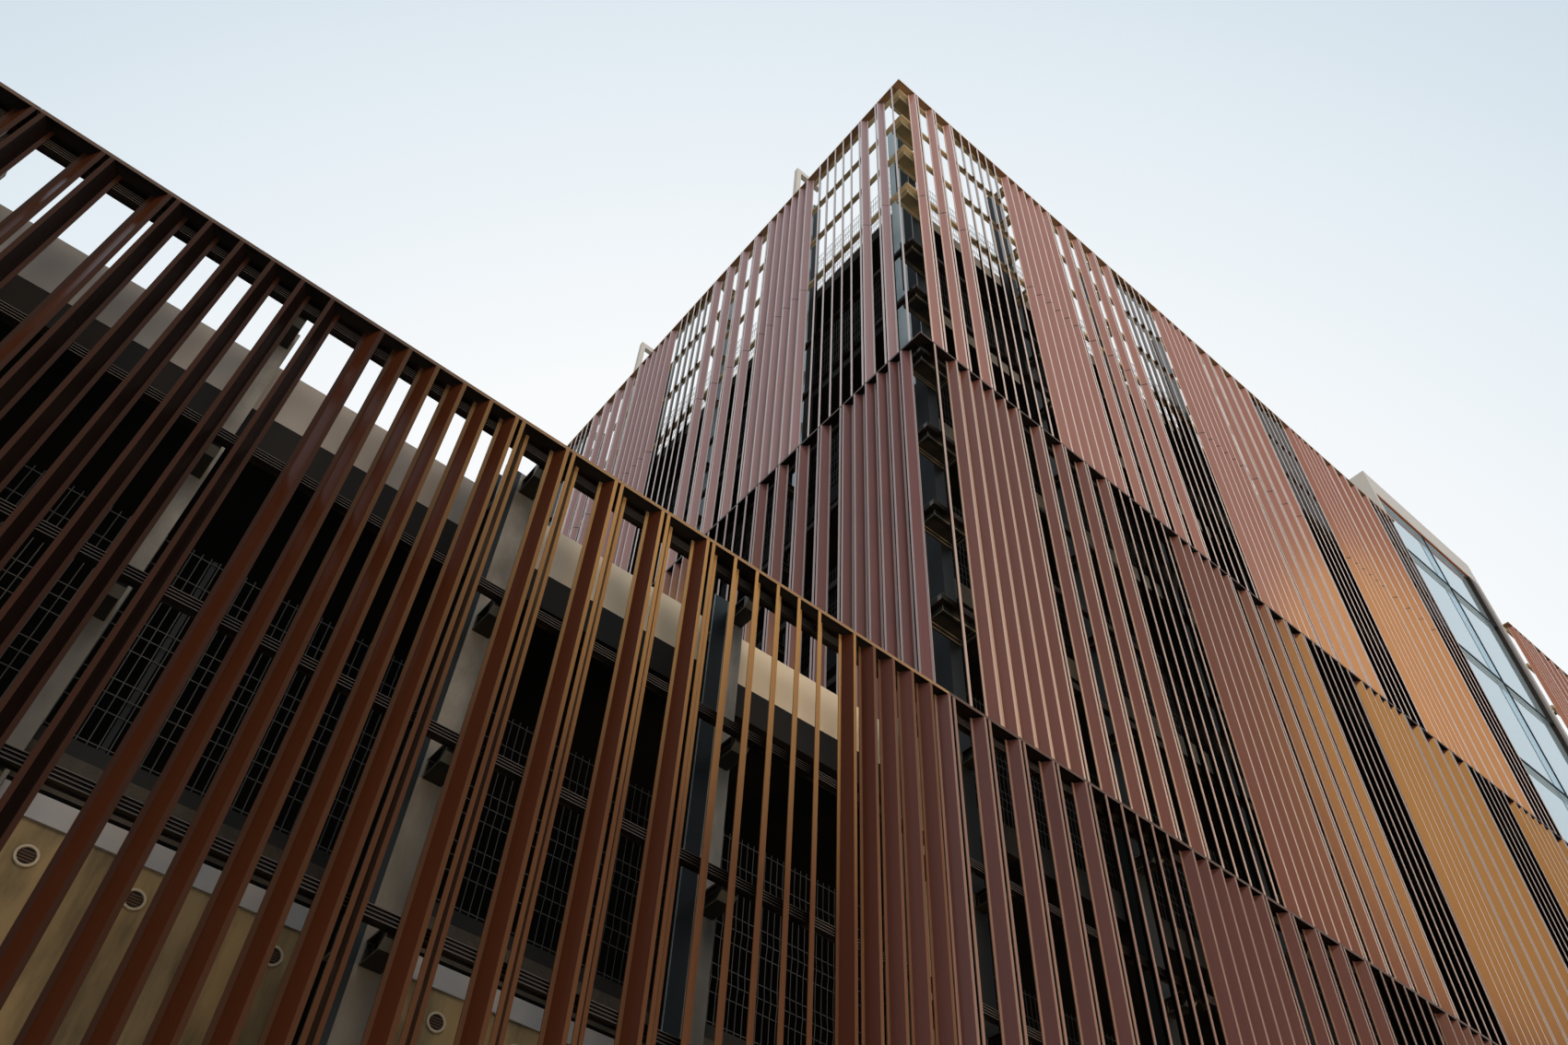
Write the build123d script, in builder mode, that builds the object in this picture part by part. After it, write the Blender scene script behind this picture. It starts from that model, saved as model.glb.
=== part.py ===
# Multi storey car park clad in upright folded metal fins, with a lower wing on
# the left, a tall block and a glazed stair tower. Sizes in millimetres.
# X runs along the front, Y runs into the building, Z is up from ground level.
import os

from build123d import *

os.makedirs("parts", exist_ok=True)

# The fin pitch, which sets out everything along the front and the left side
module = 220.0
# Whole fin pitches from the tall block's left corner
wing_modules = 54
tall_modules = 71
tower_modules = 22
far_modules = 18
depth_modules = 54
# Plan limits
total_width = (wing_modules + tall_modules + tower_modules + far_modules) * module
total_depth = depth_modules * module
x_left = -total_width / 2
x_tall = x_left + wing_modules * module
x_tower = x_tall + tall_modules * module
x_far = x_tower + tower_modules * module
x_right = total_width / 2
y_front = -total_depth / 2
y_back = total_depth / 2

# Heights above the ground
fin_foot = 150.0
cap_top = 8980.0
shelf_top = 15100.0
roof_top = 24000.0
tower_top = 26000.0
# Parking decks, top of slab
deck_levels = [5400.0, 8450.0, 11500.0, 14550.0, 17600.0, 20650.0]
slab_thickness = 220.0

# The thin shelves between the tiers of fins
shelf_thickness = 35.0
shelf_depth = 160.0

# The folded fin, seen from above: front flange, slanted web, back flange
fin_depth = 94.0
fin_sheet = 8.0
flange_near = 14.0
flange_far = 43.0
tail_near = 92.0
tail_far = 127.0
# How far the left side's fins are shifted towards the corner
side_shift = 52.0
# Where each tier's pattern of 20 fins starts, and how many fins later on the left side
lower_start = 25
middle_start = 17
top_start = 7
side_start = 1

# Rails that carry the fins
rail_height = 70.0
rail_depth = 66.0
wing_rail_tops = [5020.0, 6200.0, 7410.0, 8870.0]
low_rail_tops = [400.0, 2700.0]
tall_rail_tops = [10410.0, 11880.0, 13310.0, 14960.0, 16570.0, 17970.0]
roof_rail_tops = [19860.0, 21340.0, 22660.0, 23860.0]
rail_far = fin_depth + rail_depth
# Gap between the ends of the side's rails and the rails at the back
rail_gap = 54.0

# Columns and the brackets out to the rails
column_face = 418.0
column_width = 170.0
column_far = column_face + column_width
# The corner column is deeper than the others, beside the decks' edge
corner_depth = 430.0
bracket_width = 130.0
bracket_height = 140.0
wing_bay = 9.05 * module
tall_bay = 11.0 * module
wing_column_first = -0.3 * module
tall_column_first = 2.3 * module
corner_column_place = 2.65 * module

# Steel posts beside the wing's columns
post_size = 132.0
post_flange = 12.0
post_web = 9.0
post_line = y_front + column_face + post_size / 2
# Posts above the roof edge, with the places of their centres behind the front
roof_post_size = 100.0
roof_post_top = 25790.0
roof_post_places = [14.4 * module, 39.5 * module]
roof_arm_reach = 620.0
roof_arm_height = 150.0

# Deck edges
upstand_height = 90.0
upstand_depth = 120.0
kerb_joint = 10.0
parapet_height = 495.0
edge_beam_height = 330.0
parapet_depth = 80.0
# The wing's parapet rises towards the tall block
parapet_top_low = 8600.0
parapet_top_high = 8875.0

# Ground floor wall
wall_top = 5030.0
wall_thickness = 150.0
flashing_height = 120.0
flashing_lap = 15.0

# Guards
guard_height = 1440.0
guard_bar = 30.0
guard_pitch = 11.0 * module
guard_back = 60.0

# Solid parapets at the back
back_parapet_height = 1100.0
back_parapet_depth = 120.0

# Round vents on the ground floor wall, and the height of their centres
vent_level = 4850.0
vent_radius = 55.0
vent_stand = 12.0
vent_places = [-25.9, -23.6, -20.4, -16.2, -14.0]

# Stair tower
tower_front = 97.0
tower_depth = 18 * module
frame_height = 780.0
frame_left = 110.0
frame_right = 720.0
frame_round = 240.0
glass_recess = 95.0
glass_thickness = 40.0
mullion_width = 60.0
mullion_depth = 60.0
tower_wall = 200.0
mullion_first = 2050.0
mullion_pitch = 3050.0

# Plain slats on the sides that face away
slat_width = 95.0
slat_depth = 40.0
slat_pitch = 2 * module
panel_pitch = 18 * module
panel_width = 14 * module


def pattern(first, last, offset):
    """Fin places from first to last module for a tier whose pattern starts at offset."""
    left = []
    right = []
    for k in range(round(first), round(last) + 1):
        place = (k + offset) % 20
        if place <= 4:
            left.append(k)
        elif place <= 13 and place % 2 == 1:
            left.append(k)
            right.append(k)
        elif 14 <= place <= 18:
            right.append(k)
    return left, right


# The fin with its web leaning towards smaller module numbers, and its mirror image
lean_down = [
    (-flange_near, 0),
    (-flange_near, fin_sheet),
    (-flange_far + fin_sheet, fin_sheet),
    (-tail_near, fin_depth),
    (-tail_far, fin_depth),
    (-tail_far, fin_depth - fin_sheet),
    (-tail_near - fin_sheet, fin_depth - fin_sheet),
    (-flange_far, 0),
]
lean_up = [(-u, v) for u, v in reversed(lean_down)]
side_down = [(v, u) for u, v in reversed(lean_down)]
side_up = [(v, u) for u, v in reversed(lean_up)]


def front_spots(places):
    return [(x_tall + k * module, y_front) for k in places]


def side_spots(places):
    return [(x_tall, y_front + k * module - side_shift) for k in places]


# Lower tier of fins in front of the wing
down, up = pattern(-wing_modules + 1, -1, lower_start)
with BuildPart() as wing_fins:
    with BuildSketch(Plane.XY.offset(fin_foot)):
        with Locations(*front_spots(down)):
            Polygon(*lean_down, align=None)
        with Locations(*front_spots(up)):
            Polygon(*lean_up, align=None)
    extrude(amount=cap_top - shelf_thickness - fin_foot)

# Lower tier of fins in front of the tall block
down, up = pattern(0, tall_modules - 1, lower_start)
with BuildPart() as lower_fins:
    with BuildSketch(Plane.XY.offset(fin_foot)):
        with Locations(*front_spots(down)):
            Polygon(*lean_down, align=None)
        with Locations(*front_spots(up)):
            Polygon(*lean_up, align=None)
    extrude(amount=cap_top - shelf_thickness - fin_foot)

# Middle tier
down, up = pattern(1, tall_modules - 1, middle_start)
with BuildPart() as middle_fins:
    with BuildSketch(Plane.XY.offset(cap_top)):
        with Locations(*front_spots(down)):
            Polygon(*lean_down, align=None)
        with Locations(*front_spots(up)):
            Polygon(*lean_up, align=None)
    extrude(amount=shelf_top - shelf_thickness - cap_top)

# Top tier
down, up = pattern(2, tall_modules - 1, top_start)
with BuildPart() as top_fins:
    with BuildSketch(Plane.XY.offset(shelf_top)):
        with Locations(*front_spots(down)):
            Polygon(*lean_down, align=None)
        with Locations(*front_spots(up)):
            Polygon(*lean_up, align=None)
    extrude(amount=roof_top - shelf_thickness - shelf_top)

# Middle tier on the left side of the tall block
down, up = pattern(2, depth_modules - 1, middle_start + side_start)
with BuildPart() as side_middle_fins:
    with BuildSketch(Plane.XY.offset(cap_top)):
        with Locations(*side_spots(down)):
            Polygon(*side_down, align=None)
        with Locations(*side_spots(up)):
            Polygon(*side_up, align=None)
    extrude(amount=shelf_top - shelf_thickness - cap_top)

# Top tier on the left side, with a lone fin next to the corner
down, up = pattern(2, depth_modules - 1, top_start + side_start)
up = [1] + up
with BuildPart() as side_top_fins:
    with BuildSketch(Plane.XY.offset(shelf_top)):
        with Locations(*side_spots(down)):
            Polygon(*side_down, align=None)
        with Locations(*side_spots(up)):
            Polygon(*side_up, align=None)
    extrude(amount=roof_top - shelf_thickness - shelf_top)


def blocks(limits):
    """Blocks between the given limits, x0, x1, y0, y1, z0, z1, added in one step."""
    made = []
    for x0, x1, y0, y1, z0, z1 in limits:
        with Locations((x0, y0, z0)):
            block = Box(
                x1 - x0,
                y1 - y0,
                z1 - z0,
                align=(Align.MIN, Align.MIN, Align.MIN),
                mode=Mode.PRIVATE,
            )
            made.append(block)
    add(made)


def front_shelf(top, first, last):
    """Limits of a shelf along the front."""
    return (first, last, y_front, y_front + shelf_depth, top - shelf_thickness, top)


# Shelves over each tier along the front, and again beyond the stair tower
with BuildPart() as front_shelves:
    blocks(
        [
            front_shelf(cap_top, x_left, x_tower),
            front_shelf(shelf_top, x_tall, x_tower),
            front_shelf(roof_top, x_tall, x_tower),
            front_shelf(cap_top, x_far, x_right),
            front_shelf(shelf_top, x_far, x_right),
            front_shelf(roof_top, x_far, x_right),
        ]
    )

# The same shelves along the left side of the tall block
with BuildPart() as side_shelves:
    y0 = y_front + shelf_depth
    y1 = y_back - slat_depth - rail_depth
    x1 = x_tall + shelf_depth
    blocks(
        [
            (x_tall, x1, y0, y1, top - shelf_thickness, top)
            for top in [cap_top, shelf_top, roof_top]
        ]
    )

wing_columns = [x_tall + wing_column_first - n * wing_bay for n in range(6)]
corner_column = x_tall + corner_column_place
tall_columns = [corner_column]
tall_columns += [x_tall + tall_column_first + n * tall_bay for n in range(1, 7)]
far_columns = [x_far + module, x_right - column_face - column_width / 2]
side_columns = [y_front + tall_column_first + n * tall_bay for n in range(1, 5)]
rear_columns = [x_tall + tall_column_first + n * tall_bay for n in range(1, 10)]


def front_rail_row(x0, x1, tops):
    """Limits of the rails behind the front fins between x0 and x1."""
    y0 = y_front + fin_depth
    y1 = y_front + rail_far
    return [(x0, x1, y0, y1, top - rail_height, top) for top in tops]


# Rails behind the wing's fins
with BuildPart() as wing_rails:
    blocks(front_rail_row(x_left, x_tall, low_rail_tops + wing_rail_tops))

# Rails behind the tall block's front fins, which meet the side's rails at the corner
side_tops = tall_rail_tops + roof_rail_tops
tall_tops = low_rail_tops + wing_rail_tops + side_tops
with BuildPart() as front_rails:
    blocks(front_rail_row(x_tall, x_tower, low_rail_tops + wing_rail_tops))
    blocks(front_rail_row(x_tall + fin_depth, x_tower, side_tops))

# Rails behind the left side's fins
with BuildPart() as side_rails:
    x0 = x_tall + fin_depth
    x1 = x_tall + rail_far
    y0 = y_front + rail_far
    y1 = y_back - slat_depth - rail_depth - rail_gap
    blocks([(x0, x1, y0, y1, top - rail_height, top) for top in side_tops])

# Short brackets from the columns out to the rails
with BuildPart() as rail_brackets:
    half = bracket_width / 2
    y1 = y_front + rail_far
    y2 = y_front + column_face
    x1 = x_tall + rail_far
    x2 = x_tall + column_face
    made = []
    for x in wing_columns:
        for top in low_rail_tops + wing_rail_tops:
            made.append((x - half, x + half, y1, y2, top - bracket_height, top))
    for x in tall_columns[1:]:
        for top in tall_tops:
            made.append((x - half, x + half, y1, y2, top - bracket_height, top))
    x3 = corner_column + column_width / 2
    for top in low_rail_tops + wing_rail_tops:
        made.append((corner_column - half, corner_column + half, y1, y2, top - bracket_height, top))
    for top in side_tops:
        made.append((x1, x3, y1, y2, top - bracket_height, top))
    for y in side_columns:
        for top in side_tops:
            made.append((x1, x2, y - half, y + half, top - bracket_height, top))
    blocks(made)


def column_row(columns, foot, top):
    half = column_width / 2
    y0 = y_front + column_face
    y1 = y_front + column_far
    return [(x - half, x + half, y0, y1, foot, top) for x in columns]


# Columns behind the wing's cladding
with BuildPart() as wing_column_row:
    blocks(column_row(wing_columns, 0, cap_top - shelf_thickness))

# Steel posts of H section against the left faces of two of the wing's columns
with BuildPart() as steel_posts:
    half_flange = post_size / 2
    half_web = post_web / 2
    inner = half_flange - post_flange
    with BuildSketch():
        spots = [(x - column_width / 2 - half_flange, post_line) for x in wing_columns[1:3]]
        with Locations(*spots):
            Polygon(
                (-half_flange, -half_flange),
                (half_flange, -half_flange),
                (half_flange, -inner),
                (half_web, -inner),
                (half_web, inner),
                (half_flange, inner),
                (half_flange, half_flange),
                (-half_flange, half_flange),
                (-half_flange, inner),
                (-half_web, inner),
                (-half_web, -inner),
                (-half_flange, -inner),
                align=None,
            )
    extrude(amount=cap_top - shelf_thickness)

# Posts above the roof edge on the left side, each with an arm that reaches inwards
with BuildPart() as roof_posts:
    x0 = x_tall + rail_far
    x1 = x0 + roof_post_size
    made = []
    for y in roof_post_places:
        y0 = y_front + y - roof_post_size / 2
        y1 = y0 + roof_post_size
        made.append((x0, x1, y0, y1, roof_rail_tops[0] - rail_height, roof_post_top))
        made.append((x1, x0 + roof_arm_reach, y0, y1, roof_post_top - roof_arm_height, roof_post_top))
    blocks(made)

# Columns behind the cladding of the tall block, on its front and its left side
with BuildPart() as tall_column_rows:
    half = column_width / 2
    x0 = x_tall + column_face
    x1 = x_tall + column_far
    z0 = deck_levels[1]
    z1 = roof_top - shelf_thickness
    blocks(column_row(tall_columns + far_columns, 0, z1))
    y0 = y_front + column_far
    y1 = y_front + column_face + corner_depth
    blocks([(corner_column - half, x1, y0, y1, z0 + upstand_height, z1)])
    blocks([(x0, x1, y - half, y + half, z0, z1) for y in side_columns])

# Limits of the decks behind the columns
deck_front = y_front + column_far
deck_back = y_back - column_far
deck_left = x_left + column_far
deck_tall = x_tall + column_far
deck_right = x_right - column_far
tower_back = y_front + tower_front + tower_depth


def deck_outline(first):
    """Outline of a deck that starts at first and steps back around the stair tower."""
    return [
        (first, deck_front),
        (x_tower, deck_front),
        (x_tower, tower_back),
        (x_far, tower_back),
        (x_far, deck_front),
        (deck_right, deck_front),
        (deck_right, deck_back),
        (first, deck_back),
    ]


# First deck, through the wing and the tall block
with BuildPart() as deck_1:
    with BuildSketch(Plane.XY.offset(deck_levels[0] - slab_thickness)):
        Polygon(*deck_outline(deck_left), align=None)
    extrude(amount=slab_thickness)

# Second deck, which is the wing's roof
wing_edge = deck_front + parapet_depth
with BuildPart() as deck_2:
    with BuildSketch(Plane.XY.offset(deck_levels[1] - slab_thickness)):
        Polygon(
            (deck_left, wing_edge),
            (x_tall, wing_edge),
            *deck_outline(x_tall),
            (deck_left, deck_back),
            align=None,
        )
    extrude(amount=slab_thickness)

# Upper decks in the tall block
with BuildPart() as deck_3:
    with BuildSketch(Plane.XY.offset(deck_levels[2] - slab_thickness)):
        Polygon(*deck_outline(deck_tall), align=None)
    extrude(amount=slab_thickness)

with BuildPart() as deck_4:
    with BuildSketch(Plane.XY.offset(deck_levels[3] - slab_thickness)):
        Polygon(*deck_outline(deck_tall), align=None)
    extrude(amount=slab_thickness)

with BuildPart() as deck_5:
    with BuildSketch(Plane.XY.offset(deck_levels[4] - slab_thickness)):
        Polygon(*deck_outline(deck_tall), align=None)
    extrude(amount=slab_thickness)

with BuildPart() as deck_6:
    with BuildSketch(Plane.XY.offset(deck_levels[5] - slab_thickness)):
        Polygon(*deck_outline(deck_tall), align=None)
    extrude(amount=slab_thickness)

# Low kerbs on the front and left edges of the decks, with a joint at the corner
with BuildPart() as deck_kerbs:
    kerb_back = deck_front + upstand_depth
    kerb_side = deck_tall + upstand_depth
    kerb_end = deck_back - back_parapet_depth
    firsts = [deck_left, x_tall] + [deck_tall] * 4
    made = []
    for first, level in zip(firsts, deck_levels):
        top = level + upstand_height
        made.append((first, x_tower, deck_front, kerb_back, level, top))
        made.append((x_far, deck_right, deck_front, kerb_back, level, top))
    for level in deck_levels[2:]:
        top = level + upstand_height
        made.append((deck_tall, kerb_side, kerb_back + kerb_joint, kerb_end, level, top))
    blocks(made)

# The wing's pale parapet and the dark beam below it, both rising to the right
parapet_plane = Plane(origin=(0, deck_front, 0), x_dir=(1, 0, 0), z_dir=(0, -1, 0))
with BuildPart() as wing_parapet:
    with BuildSketch(parapet_plane):
        Polygon(
            (deck_left, parapet_top_low - parapet_height),
            (x_tall, parapet_top_high - parapet_height),
            (x_tall, parapet_top_high),
            (deck_left, parapet_top_low),
            align=None,
        )
    extrude(amount=-parapet_depth)

beam_drop = parapet_height + edge_beam_height
with BuildPart() as edge_beam:
    with BuildSketch(parapet_plane):
        Polygon(
            (deck_left, parapet_top_low - beam_drop),
            (x_tall, parapet_top_high - beam_drop),
            (x_tall, parapet_top_high - parapet_height),
            (deck_left, parapet_top_low - parapet_height),
            align=None,
        )
    extrude(amount=-parapet_depth)


def guard(first, last, level, across):
    """Limits of an open guard along X, or along Y where across is set."""
    foot = level + upstand_height
    top = foot + guard_height
    a0 = guard_back
    a1 = guard_back + guard_bar
    spans = [(foot, foot + guard_bar), (top - guard_bar, top)]
    count = int((last - first) / guard_pitch)
    limits = []
    for z0, z1 in spans:
        limits.append((first, last, a0, a1, z0, z1))
    for n in range(count + 1):
        u = first + (last - first - guard_bar) * n / count
        limits.append((u, u + guard_bar, a0, a1, foot + guard_bar, top - guard_bar))
    placed = []
    for u0, u1, v0, v1, z0, z1 in limits:
        if across:
            placed.append((deck_tall + v0, deck_tall + v1, u0, u1, z0, z1))
        else:
            placed.append((u0, u1, deck_front + v0, deck_front + v1, z0, z1))
    return placed


# Guards on the edges of the decks
with BuildPart() as wing_guard:
    blocks(guard(deck_left, x_tall, deck_levels[0], False))

with BuildPart() as front_guards:
    made = []
    for level in deck_levels[:1]:
        made += guard(x_tall, x_tower, level, False)
    for level in deck_levels[1:]:
        made += guard(deck_tall + guard_back, x_tower, level, False)
    blocks(made)

with BuildPart() as side_guards:
    made = []
    for level in deck_levels[2:]:
        made += guard(deck_front + guard_back + guard_bar, deck_back, level, True)
    blocks(made)

# Solid parapets along the back edges
with BuildPart() as back_parapets:
    y0 = deck_back - back_parapet_depth
    made = []
    inner = deck_tall + guard_back + guard_bar
    spans = [(deck_left, deck_right, deck_levels[0]), (deck_left, x_tall, deck_levels[1])]
    spans += [(inner, deck_right, level) for level in deck_levels[1:]]
    for first, last, level in spans:
        made.append((first, last, y0, deck_back, level, level + back_parapet_height))
    blocks(made)

# Ground floor wall
with BuildPart() as ground_wall:
    blocks([(deck_left, x_tower, deck_front, deck_front + wall_thickness, 0, wall_top)])

# Round vents on the ground floor wall
with BuildPart() as wall_vents:
    with BuildSketch(parapet_plane):
        with Locations(*[(x_tall + k * module, vent_level) for k in vent_places]):
            Circle(vent_radius)
    extrude(amount=vent_stand)

# Metal flashing on top of the ground floor wall, lapping forward between the columns
with BuildPart() as wall_flashing:
    flashing_top = wall_top + flashing_height
    y1 = deck_front + wall_thickness
    made = [(deck_left, x_tower, deck_front, y1, wall_top, flashing_top)]
    stops = sorted(wing_columns + tall_columns)
    starts = [deck_left] + [x + column_width / 2 for x in stops]
    ends = [x - column_width / 2 for x in stops] + [x_tower]
    for x0, x1 in zip(starts, ends):
        made.append((x0, x1, deck_front - flashing_lap, deck_front, wall_top, flashing_top))
    blocks(made)

# Pale frame of the stair tower: two side walls, a back wall and a thick roof
tower_y = y_front + tower_front
glass_y = tower_y + glass_recess
glass_top = tower_top - frame_height
with BuildPart() as tower_left_wall:
    with BuildSketch():
        Polygon(
            (x_tower, tower_y),
            (x_tower + frame_left, tower_y),
            (x_tower + frame_left, glass_y + glass_thickness),
            (x_tower + tower_wall, glass_y + glass_thickness),
            (x_tower + tower_wall, tower_back - tower_wall),
            (x_tower, tower_back - tower_wall),
            align=None,
        )
    extrude(amount=glass_top)

# The right wall is thicker at the front, where its outer corner is rounded
with BuildPart() as tower_right_wall:
    with BuildSketch():
        with BuildLine():
            Polyline(
                (x_far - frame_round, tower_y),
                (x_far - frame_right, tower_y),
                (x_far - frame_right, glass_y + glass_thickness),
                (x_far - tower_wall, glass_y + glass_thickness),
                (x_far - tower_wall, tower_back - tower_wall),
                (x_far, tower_back - tower_wall),
                (x_far, tower_y + frame_round),
            )
            CenterArc((x_far - frame_round, tower_y + frame_round), frame_round, -90, 90)
        make_face()
    extrude(amount=glass_top)

with BuildPart() as tower_back_wall:
    blocks([(x_tower, x_far, tower_back - tower_wall, tower_back, 0, glass_top)])

with BuildPart() as tower_roof:
    with BuildSketch(Plane.XY.offset(glass_top)):
        with BuildLine():
            Polyline(
                (x_far - frame_round, tower_y),
                (x_tower, tower_y),
                (x_tower, tower_back),
                (x_far, tower_back),
                (x_far, tower_y + frame_round),
            )
            CenterArc((x_far - frame_round, tower_y + frame_round), frame_round, -90, 90)
        make_face()
    extrude(amount=frame_height)

# Glass front of the stair tower
glass_left = x_tower + frame_left
glass_right = x_far - frame_right
with BuildPart() as tower_glass:
    blocks([(glass_left, glass_right, glass_y, glass_y + glass_thickness, 0, glass_top)])

# Dark bars in front of the glass
half = mullion_width / 2
middle = (glass_left + glass_right) / 2
with BuildPart() as tower_bars:
    made = [(middle - half, middle + half, glass_y - mullion_depth, glass_y, 0, glass_top)]
    level = mullion_first
    while level + half < glass_top:
        made.append(
            (glass_left, glass_right, glass_y - mullion_depth, glass_y, level - half, level + half)
        )
        level += mullion_pitch
    blocks(made)


# The same front goes on beyond the stair tower, seen there only at its near edge
with BuildPart() as far_fins:
    for foot, top, offset in [
        (fin_foot, cap_top, lower_start),
        (cap_top, shelf_top, middle_start),
        (shelf_top, roof_top, top_start),
    ]:
        first = tall_modules + tower_modules + 1
        down, up = pattern(first, first + far_modules - 2, offset)
        with BuildSketch(Plane.XY.offset(foot)):
            with Locations(*front_spots(down)):
                Polygon(*lean_down, align=None)
            with Locations(*front_spots(up)):
                Polygon(*lean_up, align=None)
        extrude(amount=top - shelf_thickness - foot)

with BuildPart() as far_rails:
    blocks(front_rail_row(x_far, x_right, tall_tops))


def slats(first, last):
    """Starts and ends of a row of slats between first and last."""
    count = int((last - first - slat_width) / slat_pitch + 0.001)
    starts = [first + n * slat_pitch for n in range(count + 1)]
    return [(start, start + slat_width) for start in starts]


# Panels of plain slats on the back, with open strips between them
y_screen = y_back - slat_depth
with BuildPart() as back_slats:
    made = []
    for n in range(9):
        first = x_left + n * panel_pitch
        last = x_right if n == 8 else first + panel_width
        top = cap_top if first < x_tall - module else roof_top
        made += [(x0, x1, y_screen, y_back, fin_foot, top) for x0, x1 in slats(first, last)]
    blocks(made)

# The same slats on the wing's left end and on the far right end
y_first = y_front + rail_far
y_last = y_screen - rail_depth
with BuildPart() as end_slats:
    made = []
    for y0, y1 in slats(y_first, y_last):
        made.append((x_left, x_left + slat_depth, y0, y1, fin_foot, cap_top))
        made.append((x_right - slat_depth, x_right, y0, y1, fin_foot, roof_top))
    blocks(made)

# Rails that carry the slats, a little short of the corners
low_tops = [fin_foot + rail_height, deck_levels[0], cap_top]
high_tops = low_tops + [deck_levels[3], deck_levels[4], roof_top]
with BuildPart() as rear_rails:
    left_0 = x_left + slat_depth
    right_1 = x_right - slat_depth
    right_0 = right_1 - rail_depth
    made = []
    for top in high_tops:
        first = x_left if top <= cap_top else x_tall
        foot = top - rail_height
        made.append((first + rail_far, x_right - rail_far, y_last, y_screen, foot, top))
        made.append((right_0, right_1, y_first, y_last, foot, top))
    for top in low_tops:
        foot = top - rail_height
        made.append((left_0, left_0 + rail_depth, y_first, y_last, foot, top))
    blocks(made)

# Columns inside the back
with BuildPart() as back_columns:
    half = column_width / 2
    back_0 = y_back - column_far
    blocks(
        [(x - half, x + half, back_0, y_last, 0, cap_top - shelf_thickness) for x in wing_columns]
        + [(x - half, x + half, back_0, y_last, 0, roof_top - shelf_thickness) for x in rear_columns]
    )

pieces = {
    "wing_fins": wing_fins,
    "lower_fins": lower_fins,
    "middle_fins": middle_fins,
    "top_fins": top_fins,
    "side_middle_fins": side_middle_fins,
    "side_top_fins": side_top_fins,
    "far_fins": far_fins,
    "front_shelves": front_shelves,
    "side_shelves": side_shelves,
    "wing_rails": wing_rails,
    "front_rails": front_rails,
    "side_rails": side_rails,
    "far_rails": far_rails,
    "rail_brackets": rail_brackets,
    "wing_columns": wing_column_row,
    "steel_posts": steel_posts,
    "tall_columns": tall_column_rows,
    "back_columns": back_columns,
    "deck_1": deck_1,
    "deck_2": deck_2,
    "deck_3": deck_3,
    "deck_4": deck_4,
    "deck_5": deck_5,
    "deck_6": deck_6,
    "deck_kerbs": deck_kerbs,
    "roof_posts": roof_posts,
    "wing_parapet": wing_parapet,
    "edge_beam": edge_beam,
    "wing_guard": wing_guard,
    "front_guards": front_guards,
    "side_guards": side_guards,
    "back_parapets": back_parapets,
    "ground_wall": ground_wall,
    "wall_vents": wall_vents,
    "wall_flashing": wall_flashing,
    "tower_left_wall": tower_left_wall,
    "tower_right_wall": tower_right_wall,
    "tower_back_wall": tower_back_wall,
    "tower_roof": tower_roof,
    "tower_glass": tower_glass,
    "tower_bars": tower_bars,
    "back_slats": back_slats,
    "end_slats": end_slats,
    "rear_rails": rear_rails,
}
for node, piece in pieces.items():
    piece.part.label = node
    export_step(piece.part, f"parts/{node}.step")
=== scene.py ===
import math

import bpy
from mathutils import Matrix, Vector


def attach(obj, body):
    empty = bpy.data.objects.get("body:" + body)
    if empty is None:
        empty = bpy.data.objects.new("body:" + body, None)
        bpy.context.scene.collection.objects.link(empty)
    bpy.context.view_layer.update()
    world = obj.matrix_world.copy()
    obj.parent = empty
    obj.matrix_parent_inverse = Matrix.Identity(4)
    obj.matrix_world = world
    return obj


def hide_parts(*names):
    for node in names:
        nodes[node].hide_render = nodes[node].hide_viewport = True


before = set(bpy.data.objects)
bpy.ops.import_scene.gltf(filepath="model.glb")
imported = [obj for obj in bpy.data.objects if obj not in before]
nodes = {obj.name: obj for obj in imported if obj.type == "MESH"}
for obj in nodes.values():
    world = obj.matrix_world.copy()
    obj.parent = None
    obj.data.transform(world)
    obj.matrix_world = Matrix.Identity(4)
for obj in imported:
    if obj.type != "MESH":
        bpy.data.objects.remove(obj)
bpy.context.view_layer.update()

# Where the picture is taken from: a person's height above the ground near the
# wing's front, looking steeply up at the corner of the tall block.
eye = (-12.229, -11.294, 1.660)
focal_pixels, picture_width, sensor_width = 1326.2, 1701, 36
turn = (0.67620891, -0.20134227, 0.68001636)
angle = math.sqrt(sum(part * part for part in turn))
to_eye = Matrix.Rotation(angle, 3, [part / angle for part in turn])
right, down, ahead = to_eye
camera_data = bpy.data.cameras.new("eye")
camera_data.lens = focal_pixels / picture_width * sensor_width
camera_data.sensor_width = sensor_width
camera_data.clip_end = 500
camera = bpy.data.objects.new("eye", camera_data)
bpy.context.scene.collection.objects.link(camera)
placed = Matrix((right, -down, -ahead)).transposed().to_4x4()
placed.translation = eye
camera.matrix_world = placed
bpy.context.scene.camera = camera


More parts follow.
